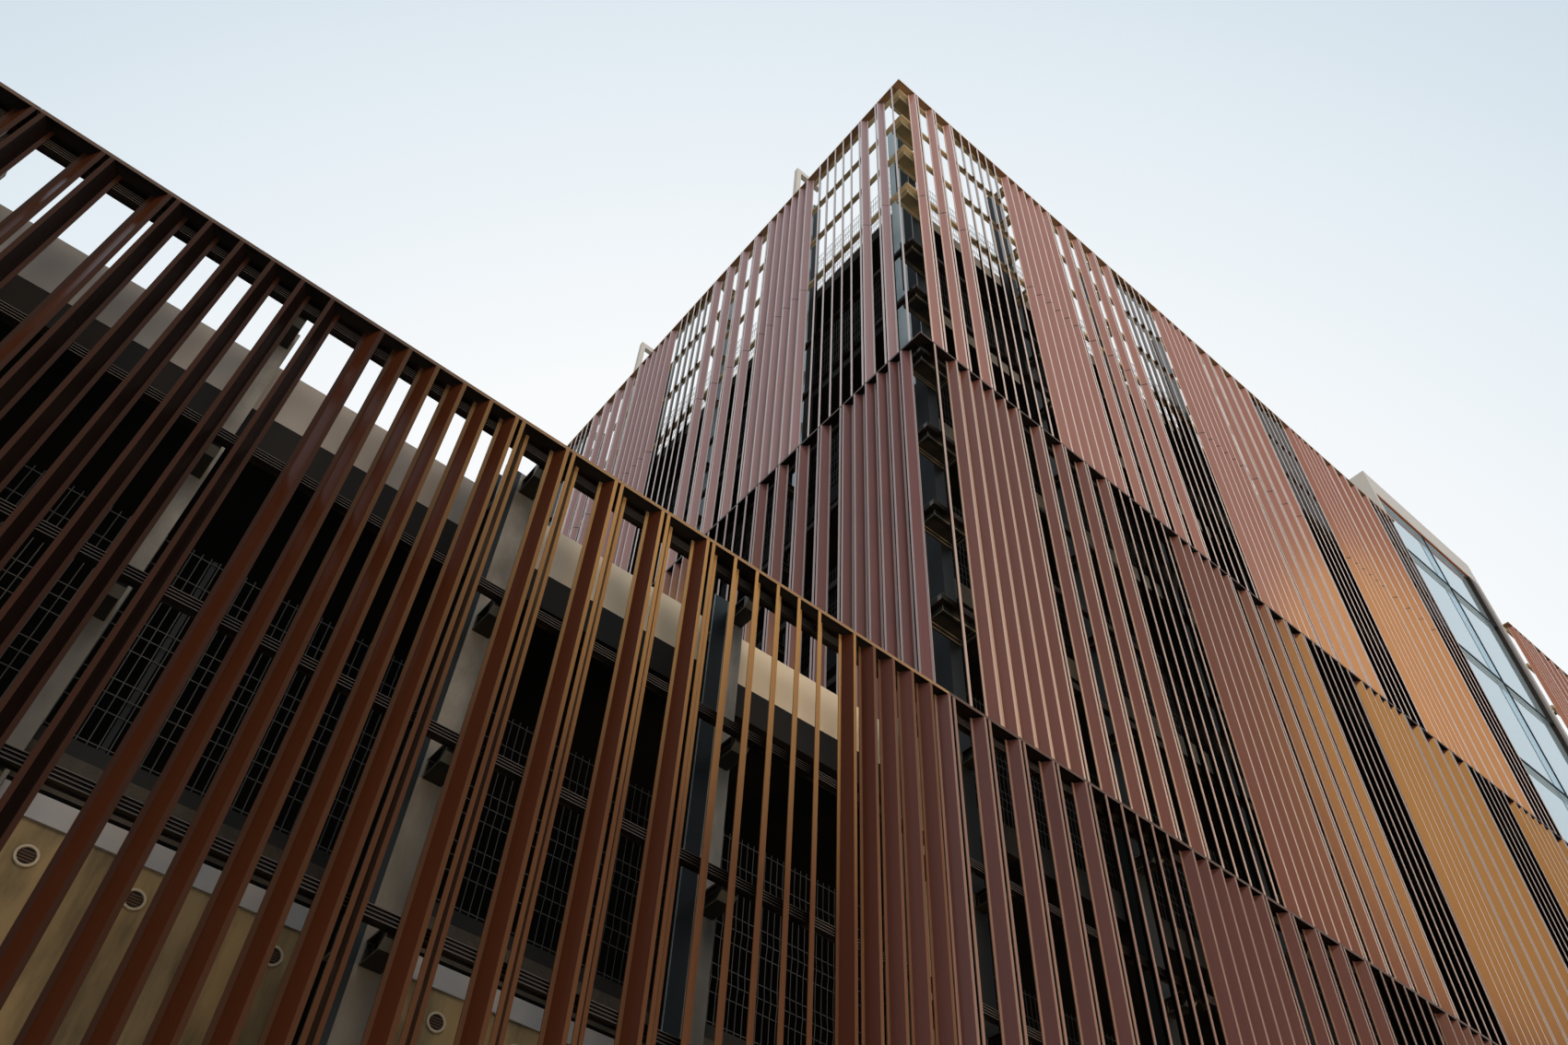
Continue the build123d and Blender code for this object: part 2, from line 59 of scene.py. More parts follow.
# Folded fins: thin coated sheet, one upright web with a small flange on each edge.
# The coating is a red-brown with faint upright streaks, darker and duller on the
# wing, where the darker colour is painted shade, and paler and glossier on the tall
# block, where its coats get paler tier by tier upwards as painted light.
class Wire:
    """A node's output socket, with arithmetic."""

    def __init__(self, tree, socket):
        self.tree = tree
        self.socket = socket

    def node(self, kind, settings=None, inputs=None, output=0):
        made = self.tree.nodes.new(kind)
        for name, value in (settings or {}).items():
            if name == "stops":
                ramp = made.color_ramp
                while len(ramp.elements) < len(value):
                    ramp.elements.new(0.5)
                for element, (place, colour) in zip(ramp.elements, value):
                    element.position = place
                    element.color = colour
            else:
                setattr(made, name, value)
        for name, value in (inputs or {}).items():
            if isinstance(value, Wire):
                self.tree.links.new(value.socket, made.inputs[name])
            else:
                made.inputs[name].default_value = value
        return Wire(self.tree, made.outputs[output])

    def sum(self, operation, first, second):
        return self.node("ShaderNodeMath", {"operation": operation}, {0: first, 1: second})

    def __add__(self, other):
        return self.sum("ADD", self, other)

    def __radd__(self, other):
        return self.sum("ADD", other, self)

    def __sub__(self, other):
        return self.sum("SUBTRACT", self, other)

    def __rsub__(self, other):
        return self.sum("SUBTRACT", other, self)

    def __mul__(self, other):
        return self.sum("MULTIPLY", self, other)

    def __rmul__(self, other):
        return self.sum("MULTIPLY", other, self)

    def __truediv__(self, other):
        return self.sum("DIVIDE", self, other)

    def __gt__(self, other):
        return self.sum("GREATER_THAN", self, other)

    def __lt__(self, other):
        return self.sum("LESS_THAN", self, other)


def surface(name, **constants):
    """A new material, with its shader and the piece's own coordinates."""
    material = bpy.data.materials.new(name)
    material.use_nodes = True
    tree = material.node_tree
    shader = tree.nodes["Principled BSDF"]
    for socket, value in constants.items():
        shader.inputs[socket.replace("_", " ")].default_value = value
    place = Wire(tree, tree.nodes.new("ShaderNodeTexCoord").outputs["Object"])
    return material, shader, place


def feed(shader, **wires):
    for name, wire in wires.items():
        wire.tree.links.new(wire.socket, shader.inputs[name.replace("_", " ")])


def noise(place, scale, stretch=(1, 1, 1), detail=4.0, roughness=0.55):
    spot = place.node("ShaderNodeMapping", inputs={"Vector": place, "Scale": stretch})
    inputs = {"Vector": spot, "Scale": scale, "Detail": detail, "Roughness": roughness}
    return place.node("ShaderNodeTexNoise", inputs=inputs)


def blend(factor, first, second):
    mix = factor.tree.nodes.new("ShaderNodeMix")
    mix.data_type = "RGBA"
    for socket, value in ((mix.inputs[0], factor), (mix.inputs[6], first), (mix.inputs[7], second)):
        if isinstance(value, Wire):
            factor.tree.links.new(value.socket, socket)
        else:
            socket.default_value = value
    return Wire(factor.tree, mix.outputs[2])


def bump(height, strength, distance):
    inputs = {"Height": height, "Strength": strength, "Distance": distance}
    return height.node("ShaderNodeBump", inputs=inputs)


def axis(vector, name):
    """One coordinate of a position or of a normal."""
    return vector.node("ShaderNodeSeparateXYZ", inputs={"Vector": vector}, output=name)


def normals(place):
    """The way that each face points."""
    return place.node("ShaderNodeNewGeometry", output="Normal")


def dress(material, *names):
    """Gives CAD nodes this material."""
    for name in names:
        mesh = nodes[name].data
        mesh.materials.clear()
        mesh.materials.append(material)


def fin_coating(name, dark, light, flange, gloss, joint=0, corner=0):
    """Red-brown coating with upright streaks, and flanges in a tone of their own.

    The flanges' tone paints the light on them: paler on the tall block as a painted
    highlight, darker on the wing. At joint it has a dark line with a pale lap above.
    Left of corner the flanges turn golden towards their tops, as painted warm light,
    and right of it the webs turn mauve. Towards the right end of the building all webs
    get deeper in tone. Web faces turned left and inwards, or right and outwards, are
    almost black as painted shade.
    """
    material, shader, place = surface(name, Specular_IOR_Level=0.05, Coat_Roughness=0.12)
    streaks = noise(place, 1.0, (9.0, 9.0, 0.18), 5.0)
    cloud = noise(place, 0.35, (1, 1, 0.4), 3.0)
    grain = noise(place, 220.0, (1, 1, 0.3), 2.0)
    tone = blend(streaks * 0.7 + 0.3 * cloud, (*dark, 1), (*light, 1))
    edge = (*flange, 1)
    along = axis(place, "X")
    height = axis(place, "Z")
    if corner:
        mauve = blend(streaks, (0.120, 0.046, 0.036, 1), (0.185, 0.078, 0.064, 1))
        tone = blend((along - corner) / 0.5, tone, mauve)
        # Painted warm light: left of corner the flanges turn golden towards their tops.
        golden = blend((height - 6.2) / 2.5, (0.135, 0.062, 0.027, 1), (0.58, 0.34, 0.13, 1))
        edge = blend((along - corner + 4.4) / 2.2, edge, golden)
        edge = blend((along - corner + 0.1) / 0.2, edge, (0.18, 0.092, 0.050, 1))
    deep = (dark[0] * 0.85, dark[1] * 0.55, dark[2] * 0.34, 1)
    tone = blend((along - 1.0) / 6.0, tone, blend(0.35 + 0.3 * streaks, tone, deep))
    facing = normals(place)
    across = axis(facing, "X")
    out = axis(facing, "Y")
    square = (across * across > 0.93) + (out * out > 0.93)
    cover = 0.9 if joint else 0.6
    # The flanges take the edge tone, which paints the light on them: paler on the tall block as a painted
    # highlight.
    tone = blend(square * (cover + 0.5 * streaks), tone, edge)
    # Web faces turned away from the light are almost black as painted shade.
    shaded = (out > 0.3) * (across < -0.3) + (across > 0.3) * (out < -0.3)
    tone = blend(shaded, tone, (0.010, 0.006, 0.005, 1))
    if joint:
        gap = (height > joint - 0.008) * (height < joint + 0.008)
        lap = square * (height > joint + 0.008) * (height < joint + 0.024)
        tone = blend(lap, blend(gap, tone, (0.006, 0.004, 0.004, 1)), (0.92, 0.88, 0.84, 1))
    feed(shader, Base_Color=tone, Roughness=0.22 + 0.12 * streaks)
    feed(shader, Coat_Weight=gloss * (0.7 + 0.3 * cloud), Normal=bump(grain, 0.05, 0.001))
    return material


joint_level = 19.65
# The wing's coat is darker as painted shade; the tall block's coats, front and side, get paler tier by
# tier upwards as painted light.
wing_coat = fin_coating(
    "wing_coat",
    (0.064, 0.0170, 0.0065),
    (0.116, 0.0330, 0.0135),
    (0.040, 0.017, 0.009),
    0.05,
    corner=-7.35,
)
low_coat = fin_coating(
    "low_coat", (0.128, 0.050, 0.040), (0.190, 0.080, 0.068), (0.31, 0.20, 0.155), 0.35
)
middle_coat = fin_coating(
    "middle_coat", (0.195, 0.070, 0.046), (0.280, 0.108, 0.077), (0.66, 0.49, 0.39), 0.60
)
top_coat = fin_coating(
    "top_coat", (0.460, 0.215, 0.165), (0.610, 0.300, 0.240), (0.95, 0.72, 0.61), 0.60, joint_level
)
side_coat = fin_coating(
    "side_coat", (0.180, 0.074, 0.068), (0.250, 0.108, 0.104), (0.72, 0.59, 0.57), 0.35
)
side_top_coat = fin_coating(
    "side_top_coat", (0.40, 0.250, 0.255), (0.54, 0.345, 0.352), (0.95, 0.82, 0.80), 0.35, joint_level
)
dress(wing_coat, "wing_fins")
dress(low_coat, "lower_fins", "back_slats", "end_slats")
dress(middle_coat, "middle_fins")
dress(top_coat, "top_fins", "far_fins")
dress(side_coat, "side_middle_fins")
dress(side_top_coat, "side_top_fins")


# Fin clips: the top tier's fins have a joint at one level, drawn in their coating.
# On the front a small plate with a raised face sits on each web there.
def block(name, x0, x1, y0, y1, z0, z1):
    """A block between these limits, with its object at the origin."""
    bpy.ops.object.select_all(action="DESELECT")
    bpy.ops.mesh.primitive_cube_add(size=1)
    made = bpy.context.object
    made.name = name
    middle = Matrix.Translation(((x0 + x1) / 2, (y0 + y1) / 2, (z0 + z1) / 2))
    made.data.transform(middle @ Matrix.Diagonal((x1 - x0, y1 - y0, z1 - z0, 1)))
    return made


def choose(piece, wanted):
    """Goes into edit mode with the faces selected that wanted says, by centre and normal."""
    bpy.ops.object.select_all(action="DESELECT")
    piece.select_set(True)
    bpy.context.view_layer.objects.active = piece
    bpy.ops.object.mode_set(mode="EDIT")
    bpy.ops.mesh.select_mode(type="FACE")
    bpy.ops.mesh.select_all(action="DESELECT")
    bpy.ops.object.mode_set(mode="OBJECT")
    for face in piece.data.polygons:
        face.select = bool(wanted(face.center, face.normal))
    bpy.ops.object.mode_set(mode="EDIT")


def push(piece, wanted, way):
    """Extrudes the chosen faces that way."""
    choose(piece, wanted)
    bpy.ops.mesh.extrude_region_move(TRANSFORM_OT_translate={"value": way})
    bpy.ops.object.mode_set(mode="OBJECT")


def panel(piece, wanted, margin, way):
    """Insets the chosen faces and extrudes them that way."""
    choose(piece, wanted)
    bpy.ops.mesh.inset(thickness=margin, use_individual=True)
    bpy.ops.mesh.extrude_region_move(TRANSFORM_OT_translate={"value": way})
    bpy.ops.object.mode_set(mode="OBJECT")


def slice_up(piece, spots, normal):
    """Cuts all faces along planes through these spots."""
    for spot in spots:
        choose(piece, lambda centre, facing: True)
        bpy.ops.mesh.bisect(plane_co=spot, plane_no=normal)
        bpy.ops.object.mode_set(mode="OBJECT")


def soften(piece, width):
    """Bevels the piece's sharp edges."""
    bpy.ops.object.select_all(action="DESELECT")
    piece.select_set(True)
    bpy.context.view_layer.objects.active = piece
    bevel = piece.modifiers.new("arris", "BEVEL")
    bevel.width = width
    bevel.limit_method = "ANGLE"
    bpy.ops.object.modifier_apply(modifier=bevel.name)


def together(name, parts):
    """Joins these pieces into one mesh."""
    bpy.ops.object.select_all(action="DESELECT")
    for part in parts:
        part.select_set(True)
    bpy.context.view_layer.objects.active = parts[0]
    bpy.ops.object.join()
    parts[0].name = name
    return parts[0]


def repeat(name, master, places):
    """Copies of the master at these places, each with its own mesh, joined."""
    copies = []
    for spot in places:
        copy = master.copy()
        copy.data = master.data.copy()
        copy.data.transform(spot if isinstance(spot, Matrix) else Matrix.Translation(spot))
        bpy.context.scene.collection.objects.link(copy)
        copies.append(copy)
    bpy.data.objects.remove(master)
    return together(name, copies)


def fixed(piece, material, *stands_for):
    """Gives the piece its material and ties it to the building."""
    piece.data.materials.clear()
    piece.data.materials.append(material)
    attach(piece, "root")
    if stands_for:
        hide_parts(*stands_for)


module = 0.22
x_left, x_tall, x_tower, x_far, x_right = -18.15, -6.27, 9.35, 14.19, 18.15
y_front = -5.94
tier_tops = [8.98, 15.10, 24.0]
fin_depth, web_run, web_middle = 0.094, 0.049, 0.0675
half_column = 0.085
# Between these heights the rails and brackets catch the low sun
sunned_foot, sunned_top = 19.3, 23.87


def pattern(first, last, offset):
    """Fin places whose webs lean one way, and those whose webs lean the other way."""
    down, up = [], []
    for k in range(first, last + 1):
        place = (k + offset) % 20
        if place <= 4 or (place <= 13 and place % 2 == 1):
            down.append(k)
        if 14 <= place <= 18 or (5 <= place <= 13 and place % 2 == 1):
            up.append(k)
    return down, up


clip_half, clip_front, clip_back = 0.026, -0.0075, -0.004
clip = block("clip", -clip_half, clip_half, clip_front, clip_back, -clip_half / 2, clip_half / 2)
panel(clip, lambda c, n: n.y < -0.5, 0.004, (0, -0.001, 0))
slant = math.atan2(fin_depth, web_run)
web_line = y_front + fin_depth / 2
spots = []
down, up = pattern(2, 70, 7)
for k in down:
    middle = Matrix.Translation((x_tall + k * module - web_middle, web_line, joint_level))
    spots.append(middle @ Matrix.Rotation(-slant, 4, "Z"))
for k in up:
    middle = Matrix.Translation((x_tall + k * module + web_middle, web_line, joint_level))
    spots.append(middle @ Matrix.Rotation(slant - math.pi, 4, "Z"))
clips = repeat("fin_clips", clip, spots)
clip_metal, shader, place = surface("clip_metal", Metallic=0.5)
grime = noise(place, 6.0)
feed(shader, Base_Color=blend(grime, (0.10, 0.050, 0.030, 1), (0.22, 0.12, 0.07, 1)))
feed(shader, Roughness=0.3 + 0.2 * grime)
fixed(clips, clip_metal)

# Shelves over each tier: sheet folded to a channel that opens downwards, in
# lengths with a small gap between them, dark brown with paler outer edges. The step
# between the outer faces and the almost black rest is painted light and shade. Gold on
# the wing shelf's outer face towards its right end, and on the top shelf all round, is
# painted warm light.
shelf_coat, shader, place = surface("shelf_coat", Specular_IOR_Level=0.3)
grime = noise(place, 1.2, (0.3, 1, 1), 5.0)
facing = normals(place)
across = axis(facing, "X")
out = axis(facing, "Y")
height = axis(place, "Z")
# The step from these dark faces to the paler outer faces is painted light and shade.
tone = blend(grime, (0.005, 0.003, 0.002, 1), (0.014, 0.008, 0.005, 1))
# Painted warm light under the top shelf.
lit_under = blend(grime, (0.20, 0.11, 0.055, 1), (0.55, 0.33, 0.17, 1))
tone = blend(height > 23.5, tone, lit_under)
# Painted warm light on the outer faces: towards the wing shelf's right end and on the top shelf.
shelf_gold_light = blend(grime, (0.26, 0.148, 0.068, 1), (0.46, 0.280, 0.130, 1))
brown = blend(grime, (0.075, 0.040, 0.026, 1), (0.15, 0.085, 0.056, 1))
spot = axis(place, "X")
depth = axis(place, "Y")
edge = blend((spot + 11.6) / 1.8 * (spot < -6.3), brown, shelf_gold_light)
edge = blend(height > 20, edge, blend(grime, (0.40, 0.225, 0.105, 1), (0.70, 0.430, 0.210, 1)))
outer = (out < -0.5) * (depth < -5.93) + (across < -0.5) * (spot < -6.26)
feed(shader, Base_Color=blend(outer, tone, edge))
feed(shader, Roughness=0.40 + 0.2 * grime)
shelf_height, shelf_depth, shelf_sheet, shelf_gap = 0.035, 0.16, 0.004, 0.004


def shelf(name, length):
    """A length of shelf along X from the origin, its top at zero."""
    made = block(name, 0, length, 0, shelf_depth, -shelf_height, 0)
    panel(made, lambda c, n: n.z < -0.5, shelf_sheet, (0, 0, shelf_height - shelf_sheet))
    return made


def shelf_run(name, x0, x1, tops):
    """Shelves of equal lengths of about 4 m from x0 to x1 at each level."""
    count = round((x1 - x0) / 4)
    length = (x1 - x0) / count
    master = shelf(name, length - shelf_gap)
    spots = [(x0 + n * length + shelf_gap / 2, y_front, top) for n in range(count) for top in tops]
    return repeat(name, master, spots)


runs = [shelf_run("wing_shelf", x_left, x_tall, tier_tops[:1])]
runs.append(shelf_run("tall_shelf", x_tall, x_tower, tier_tops))
runs.append(shelf_run("far_shelf", x_far, x_right, tier_tops))
fixed(together("front_shelf_channels", runs), shelf_coat, "front_shelves")
side_start, side_shelf_end = y_front + shelf_depth, 5.834
side_count = 3
length = (side_shelf_end - side_start) / side_count
turned = Matrix.Rotation(math.radians(-90), 4, "Z")
spots = []
for n in range(side_count):
    for top in tier_tops:
        end = side_start + (n + 1) * length - shelf_gap / 2
        spots.append(Matrix.Translation((x_tall, end, top)) @ turned)
side_shelf = repeat("side_shelf_channels", shelf("side_shelf", length - shelf_gap), spots)
fixed(side_shelf, shelf_coat, "side_shelves")

# Rails: steel channels with three grooves along the face, which carry the fins.
# They are dark brown with paler rib faces as painted highlights, and pale gold
# behind the upper part of the top tier as painted sunlight, their rib faces darker
# there as painted shade.
rail_coat, shader, place = surface("rail_coat", Metallic=0.1, Specular_IOR_Level=0.4)
grime = noise(place, 2.0, (1, 1, 1), 6.0)
spot = axis(place, "X")
depth = axis(place, "Y")
height = axis(place, "Z")
facing = normals(place)
across = axis(facing, "X")
out = axis(facing, "Y")
front_rib = (out < -0.5) * (depth < -5.8445)
side_rib = (across < -0.5) * (spot > -6.1775) * (spot < -6.1745)
tone = blend(grime, (0.007, 0.005, 0.004, 1), (0.024, 0.017, 0.013, 1))
# Paler rib faces are a painted highlight.
tone = blend((front_rib + side_rib) * (0.35 + 0.4 * grime), tone, (0.135, 0.104, 0.084, 1))
# Painted low sunlight on the rails between sunned_foot and sunned_top, with the rib faces darker as
# painted shade.
sunned = blend(grime, (0.80, 0.64, 0.36, 1), (0.98, 0.84, 0.56, 1))
sunned = blend((front_rib + side_rib) * 0.6, sunned, (0.30, 0.20, 0.10, 1))
sunlit = (height > sunned_foot) * (height < sunned_top)
feed(shader, Base_Color=blend(sunlit, tone, sunned))
feed(shader, Roughness=0.30 + 0.25 * grime)
rail_height, rail_depth, rail_inset = 0.070, 0.066, fin_depth
rail_back = rail_inset + rail_depth
groove_depth, rail_sheet, rail_hollow = 0.014, 0.005, 0.010
low_tops, wing_tops = [0.40, 2.70], [5.02, 6.20, 7.41, 8.87]
side_tops = [10.41, 11.88, 13.31, 14.96, 16.57, 17.97, 19.86, 21.34, 22.66, 23.86]


def rail(name, length):
    """A rail along X from the origin, its top at zero, with grooves along its face."""
    made = block(name, 0, length, 0, rail_depth, -rail_height, 0)
    grooves = [(-0.065, -0.048), (-0.043, -0.026), (-0.021, -0.005)]
    slice_up(made, [(0, 0, level) for groove in grooves for level in groove], (0, 0, 1))
    face = lambda c, n: n.y < -0.5 and any(low < c.z < high for low, high in grooves)
    push(made, face, (0, groove_depth, 0))
    below = lambda c, n: n.z < -0.5 and c.z < 0.002 - rail_height
    panel(made, below, rail_sheet, (0, 0, rail_hollow))
    return made


def rails(name, x0, x1, tops):
    return repeat(name, rail(name, x1 - x0), [(x0, y_front + rail_inset, top) for top in tops])


fixed(rails("wing_rail_ribs", x_left, x_tall, low_tops + wing_tops), rail_coat, "wing_rails")
low = rails("low_rails", x_tall, x_tower, low_tops + wing_tops)
high = rails("high_rails", x_tall + rail_inset, x_tower, side_tops)
fixed(together("front_rail_ribs", [low, high]), rail_coat, "front_rails")
far = rails("far_rail_ribs", x_far, x_right, low_tops + wing_tops + side_tops)
fixed(far, rail_coat, "far_rails")
inner, side_rail_end = y_front + rail_back, 5.78
spots = [Matrix.Translation((x_tall + rail_inset, side_rail_end, top)) @ turned for top in side_tops]
side_rail = rail("side_rail", side_rail_end - inner)
fixed(repeat("side_rail_ribs", side_rail, spots), rail_coat, "side_rails")
dress(rail_coat, "rear_rails")

# Brackets: short tapered steel arms with hollow sides, from the columns out to the
# rails, and a wider arm, hollow below, at the tall block's corner.
column_face = 0.418
reach = column_face - rail_back
half_arm, arm_height, arm_sheet, arm_hollow = 0.065, 0.14, 0.012, 0.045
arm_flange, arm_taper = 0.05, 0.62
arm = block("arm", -half_arm, half_arm, 0, reach, -arm_height, 0)
slice_up(arm, [(0, arm_flange, 0)], (0, 1, 0))
choose(arm, lambda c, n: n.y < -0.5)
bpy.ops.transform.resize(value=(1, 1, arm_taper), center_override=(0, 0, 0))
bpy.ops.object.mode_set(mode="OBJECT")
panel(arm, lambda c, n: n.x > 0.5 and c.y > arm_flange, arm_sheet, (-arm_hollow, 0, 0))
panel(arm, lambda c, n: n.x < -0.5 and c.y > arm_flange, arm_sheet, (arm_hollow, 0, 0))
soften(arm, 0.004)
wing_bay, tall_bay = 9.05 * module, 11 * module
wing_columns = [x_tall - 0.3 * module - n * wing_bay for n in range(6)]
corner_column = x_tall + 2.65 * module
tall_columns = [x_tall + 2.3 * module + n * tall_bay for n in range(1, 7)]
side_columns = [y_front + 2.3 * module + n * tall_bay for n in range(1, 5)]
spots = [(x, inner, top) for x in wing_columns + [corner_column] for top in low_tops + wing_tops]
spots += [(x, inner, top) for x in tall_columns for top in low_tops + wing_tops + side_tops]
turned_spots = []
for y in side_columns:
    for top in side_tops:
        here = Matrix.Translation((x_tall + rail_back, y, top))
        turned_spots.append(here @ turned)
all_arms = [Matrix.Translation(spot) for spot in spots] + turned_spots
arms = repeat("arms", arm, all_arms)
x0, x1 = x_tall + rail_back, corner_column + half_column
corner = block("corner", x0, x1, inner, y_front + column_face, -arm_height, 0)
panel(corner, lambda c, n: n.z < -0.5, 0.03, (0, 0, 0.06))
corners = repeat("corners", corner, [(0, 0, top) for top in side_tops])
arm_coat, shader, place = surface("arm_coat", Specular_IOR_Level=0.3)
grime = noise(place, 2.0, (1, 1, 1), 6.0)
facing = normals(place)
up = axis(facing, "Z")
across = axis(facing, "X")
out = axis(facing, "Y")
height = axis(place, "Z")
# Pale bevelled edges are a painted highlight; between sunned_foot and sunned_top the arms are painted
# sunlit, their edges paler still.
arris = (up * up < 0.8) * (across * across < 0.8) * (out * out < 0.8)
tone = blend(grime, (0.012, 0.011, 0.009, 1), (0.036, 0.033, 0.026, 1))
tone = blend(arris, tone, (0.20, 0.18, 0.13, 1))
sunned = blend(grime, (0.26, 0.21, 0.10, 1), (0.50, 0.41, 0.22, 1))
sunned = blend(arris, sunned, (0.96, 0.86, 0.62, 1))
sunlit = (height > sunned_foot) * (height < sunned_top)
feed(shader, Base_Color=blend(sunlit, tone, sunned))
feed(shader, Roughness=0.35 + 0.25 * grime)
soften(corners, 0.006)
fixed(together("bracket_arms", [arms, corners]), arm_coat, "rail_brackets")

# Columns of concrete, darker low down, the tall block's columns in a blue-grey
# coating with painted light and shade, and the steel posts in a near black one with a
# painted highlight along the outer edge.
concrete, shader, place = surface("column_concrete")
patches = noise(place, 4.5, (1, 1, 0.5), 6.0)
pores = noise(place, 60.0, (1, 1, 1), 3.0)
runs_down = noise(place, 1.0, (14, 14, 0.5), 4.0)
tone = blend(1.7 * patches - 0.35, (0.19, 0.19, 0.175, 1), (0.66, 0.645, 0.59, 1))
height = axis(place, "Z")
# Darker low down, fading to the plain tone between 5.6 m and 7.4 m.
darker_low = blend(1.7 * patches - 0.35, (0.085, 0.088, 0.080, 1), (0.30, 0.30, 0.27, 1))
tone = blend((height - 5.6) / 1.8, darker_low, tone)
tone = blend(runs_down * 0.5, tone, (0.12, 0.105, 0.09, 1))
feed(shader, Base_Color=blend(pores * 0.3, tone, (0.16, 0.15, 0.14, 1)))
feed(shader, Roughness=0.75 + 0.2 * patches, Normal=bump(pores, 0.3, 0.004))
dress(concrete, "wing_columns", "back_columns")
blue_coat, shader, place = surface("column_coat", Specular_IOR_Level=0.12)
patches = noise(place, 0.9, (3, 3, 0.5), 5.0)
height = axis(place, "Z")
depth = axis(place, "Y")
facing = normals(place)
across = axis(facing, "X")
# Faces turned left are pale as painted light and the others almost black as painted shade; below the
# middle tier's top and in a band set back from the front all faces are almost black, also painted shade.
tone = blend(patches, (0.56, 0.70, 0.74, 1), (0.78, 0.90, 0.93, 1))
tone = blend(across > -0.5, tone, blend(patches, (0.035, 0.040, 0.042, 1), (0.075, 0.084, 0.086, 1)))
shaded = blend(patches, (0.014, 0.016, 0.017, 1), (0.032, 0.036, 0.037, 1))
tone = blend((height < tier_tops[1]) + (depth < y_front + 0.60) * (depth > y_front + 0.43), tone, shaded)
feed(shader, Base_Color=tone, Roughness=0.38 + 0.25 * patches)
feed(shader, Metallic=0.6 * (across < -0.5) * (height > tier_tops[1]))
dress(blue_coat, "tall_columns")
post_coat, shader, place = surface("post_coat", Specular_IOR_Level=0.25)
patches = noise(place, 0.9, (6, 6, 0.8), 5.0)
along = axis(place, "X")
post_width = 0.132
post_centres = [wing_columns[n] - half_column - post_width / 2 for n in (1, 2)]
# A thin pale strip along each post's outer edge is a painted highlight.
outer_edge_highlight = 0
for x in post_centres:
    start = x - post_width / 2
    outer_edge_highlight = (along > start - 0.001) * (along < start + 0.004) + outer_edge_highlight
tone = blend(patches, (0.010, 0.013, 0.015, 1), (0.026, 0.033, 0.037, 1))
feed(shader, Base_Color=blend(outer_edge_highlight, tone, (0.26, 0.31, 0.33, 1)))
feed(shader, Roughness=0.30 + 0.25 * patches)
dress(post_coat, "steel_posts")

# Bolts through the posts' webs in two staggered rows, and two level stiffening
# plates in each post, one beside the wall's top and one near the post's top.
post_line = y_front + column_face + post_width / 2
bpy.ops.object.select_all(action="DESELECT")
bolt_count, bolt_foot, bolt_pitch, bolt_side = 24, 0.55, 0.35, 0.025
bolt_radius, bolt_depth, half_web = 0.014, 0.012, 0.0045
bpy.ops.mesh.primitive_cylinder_add(vertices=6, radius=bolt_radius, depth=bolt_depth)
bolt = bpy.context.object
bolt.data.transform(Matrix.Rotation(math.radians(-90), 4, "Y"))
panel(bolt, lambda c, n: n.x < -0.5, 0.004, (-0.006, 0, 0))
spots = []
for x in post_centres:
    for n in range(bolt_count):
        side = post_line + bolt_side * (-1) ** n
        spots.append((x - half_web - bolt_depth / 2, side, bolt_foot + n * bolt_pitch))
fixed(repeat("post_bolts", bolt, spots), post_coat)
plate = block("plate", -0.062, -half_web, -0.054, 0.054, 0, 0.010)
soften(plate, 0.0015)
plate_levels = (4.9, 8.52)
spots = [(x, post_line, z) for x in post_centres for z in plate_levels]
plates = repeat("post_plates", plate, spots)
plate_metal, shader, place = surface("plate_metal", Metallic=0.3)
grime = noise(place, 5.0)
feed(shader, Base_Color=blend(grime, (0.42, 0.45, 0.46, 1), (0.66, 0.68, 0.68, 1)))
feed(shader, Roughness=0.35 + 0.2 * grime)
fixed(plates, plate_metal)

# Parking decks and their kerbs: concrete, almost black underneath as painted shade,
# with edges that get paler with height and stay dark where they face left, as painted
# shade. The first deck is rougher.
# Almost black undersides are painted shade.
painted_shade_underside = (0.012, 0.011, 0.010, 1)
deck_face, shader, place = surface("deck_concrete", Specular_IOR_Level=0.2)
patches = noise(place, 0.6, (1, 1, 1), 6.0)
facing = normals(place)
up = axis(facing, "Z")
tone = blend(patches, (0.11, 0.105, 0.10, 1), (0.18, 0.172, 0.16, 1))
edge = blend(patches, (0.34, 0.31, 0.25, 1), (0.48, 0.44, 0.36, 1))
height = axis(place, "Z")
across = axis(facing, "X")
dark = blend(patches, (0.016, 0.017, 0.017, 1), (0.032, 0.033, 0.033, 1))
# Edges facing left stay dark as painted shade.
edge = blend((height - 9.0) / 11.0 - (across < -0.5), dark, edge)
tone = blend(up * up < 0.5, tone, edge)
feed(shader, Base_Color=blend(up < -0.5, tone, painted_shade_underside))
feed(shader, Roughness=0.7 + 0.2 * patches)
dress(deck_face, "deck_2", "deck_3", "deck_4", "deck_5", "deck_6", "deck_kerbs")
rough_face, shader, place = surface("rough_concrete", Specular_IOR_Level=0.2, Roughness=0.9)
lumps = noise(place, 18.0, (1, 1, 1), 8.0)
patches = noise(place, 1.6, (1, 1, 1), 6.0)
facing = normals(place)
up = axis(facing, "Z")
tone = blend(patches, (0.046, 0.041, 0.035, 1), (0.155, 0.138, 0.115, 1))
tone = blend(lumps * 0.6, tone, (0.018, 0.015, 0.013, 1))
feed(shader, Base_Color=blend(up < -0.5, tone, painted_shade_underside))
feed(shader, Normal=bump(lumps, 0.8, 0.02))
dress(rough_face, "deck_1")

